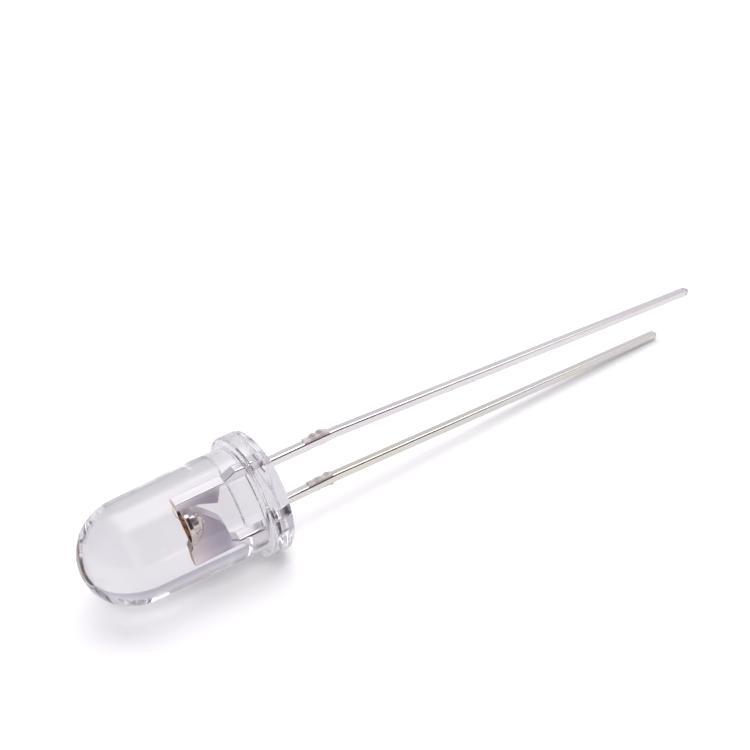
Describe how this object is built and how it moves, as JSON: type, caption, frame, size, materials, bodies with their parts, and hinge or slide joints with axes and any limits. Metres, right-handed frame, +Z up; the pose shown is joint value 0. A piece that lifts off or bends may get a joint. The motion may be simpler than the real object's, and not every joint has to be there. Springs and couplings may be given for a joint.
{
  "type": "through-hole light-emitting diode",
  "caption": "Clear round through-hole LED with a domed lens, a flanged base with one flat, a reflector-cup lead frame and straight square leads of unequal length.",
  "frame": {"origin": "on the ground under the middle of the whole part, which lies on the flat of its flange and on the tip of its short lead", "axes": "+X along the optical axis from the dome towards the leads, +Y across the lead plane, +Z up, from the short lead to the long one"},
  "size_m": [0.0382, 0.0058, 0.0055],
  "materials": {
    "lens": "water-clear cast epoxy, glossy, with a faint lavender cast",
    "cathode_plating": "bright tin or silver plate over stamped steel, dull where the dam bar was sheared",
    "anode_plating": "bright tin or silver plate over stamped steel, dull where the dam bar was sheared",
    "die": "polished semiconductor, red-brown",
    "silver_adhesive": "silver-filled adhesive, matt",
    "gold_wire": "drawn gold wire"
  },
  "bodies": {
    "root": {"lens_body": "lens", "cathode_lead": "cathode_plating", "anode_lead": "anode_plating", "led_die": "die", "die_attach": "silver_adhesive", "bond_wire": "gold_wire"}
  },
  "joints": []
}
